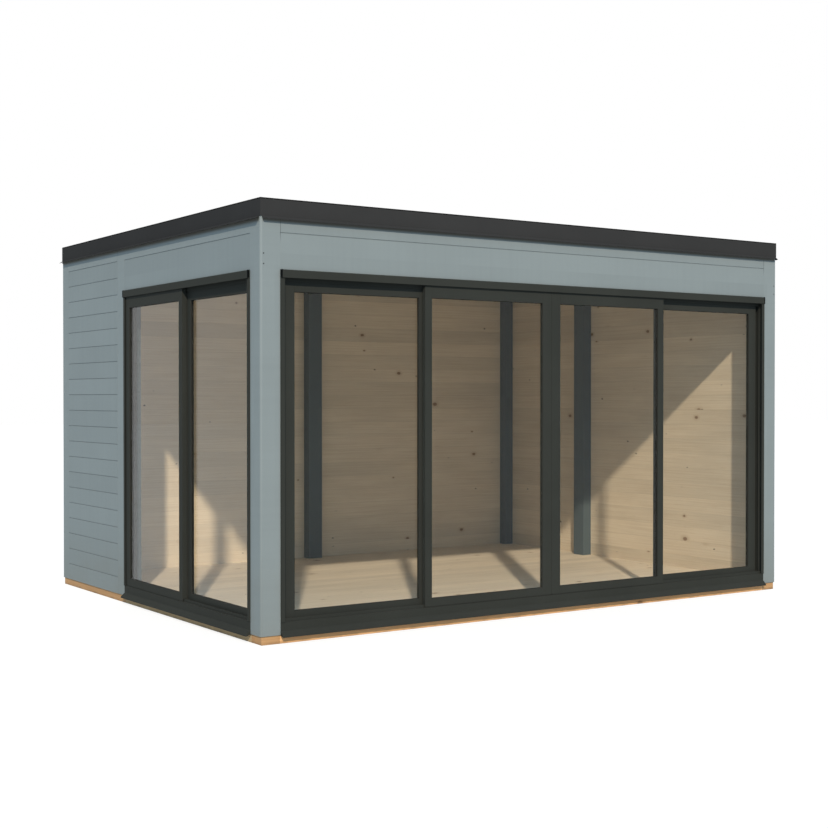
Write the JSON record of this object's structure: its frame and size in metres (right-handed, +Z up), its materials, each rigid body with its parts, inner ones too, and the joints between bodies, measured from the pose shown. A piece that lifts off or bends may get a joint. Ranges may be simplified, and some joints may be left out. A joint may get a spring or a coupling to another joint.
{
  "type": "garden cabin",
  "caption": "Flat-roofed garden cabin with painted log walls between square posts, a timber base, metal roof trim and two-track sliding glass doors at the front and one side.",
  "frame": {"origin": "middle of the walls' footprint, on the ground at the underside of the base", "axes": "+Z up; the front with the wide door set faces -Y; +X to the right seen from the front"},
  "size_m": [4.236, 3.213, 2.5],
  "materials": {
    "painted_timber": "matt blue-grey paint over machined timber",
    "bare_timber": "planed knotty softwood, clear finish",
    "base_timber": "treated softwood",
    "roof_membrane": "matt sheet",
    "trim_metal": "satin powder coat",
    "door_metal": "fine-textured powder coat",
    "clear_glass": "clear float glass"
  },
  "bodies": {
    "cabin": {"post_front_left": "painted_timber", "post_front_right": "painted_timber", "post_back_left": "painted_timber", "post_back_right": "painted_timber", "post_left_middle": "painted_timber", "post_right_middle": "painted_timber", "post_back_middle": "painted_timber", "wall_left": "painted_timber", "wall_right_front": "painted_timber", "wall_right_back": "painted_timber", "wall_back_left": "painted_timber", "wall_back_right": "painted_timber", "front_lintel": "painted_timber", "side_lintel": "painted_timber", "floor": "bare_timber", "roof_beams": "bare_timber", "roof_deck": "bare_timber", "base_frame": "base_timber", "roof_covering": "roof_membrane", "roof_trim_front": "trim_metal", "roof_trim_back": "trim_metal", "roof_trim_left": "trim_metal", "roof_trim_right": "trim_metal", "front_door_sill": "door_metal", "front_door_head": "door_metal", "front_door_jamb_left": "door_metal", "front_door_jamb_right": "door_metal", "front_fixed_panel_left": "door_metal", "front_fixed_panel_right": "door_metal", "side_door_sill": "door_metal", "side_door_head": "door_metal", "side_door_jamb_front": "door_metal", "side_door_jamb_back": "door_metal", "side_fixed_panel": "door_metal", "front_fixed_glass_left": "clear_glass", "front_fixed_glass_right": "clear_glass", "side_fixed_glass": "clear_glass"},
    "front_left_slider": {"front_sliding_panel_left": "door_metal", "front_sliding_glass_left": "clear_glass"},
    "front_right_slider": {"front_sliding_panel_right": "door_metal", "front_sliding_glass_right": "clear_glass"},
    "side_slider": {"side_sliding_panel": "door_metal", "side_sliding_glass": "clear_glass"}
  },
  "joints": [
    {"name": "front_left_slide", "type": "slide", "parent": "cabin", "child": "front_left_slider", "axis": [-1, 0, 0], "range_m": [0, 0.968]},
    {"name": "front_right_slide", "type": "slide", "parent": "cabin", "child": "front_right_slider", "axis": [1, 0, 0], "range_m": [0, 0.968]},
    {"name": "side_slide", "type": "slide", "parent": "cabin", "child": "side_slider", "axis": [0, -1, 0], "range_m": [0, 0.899]}
  ]
}
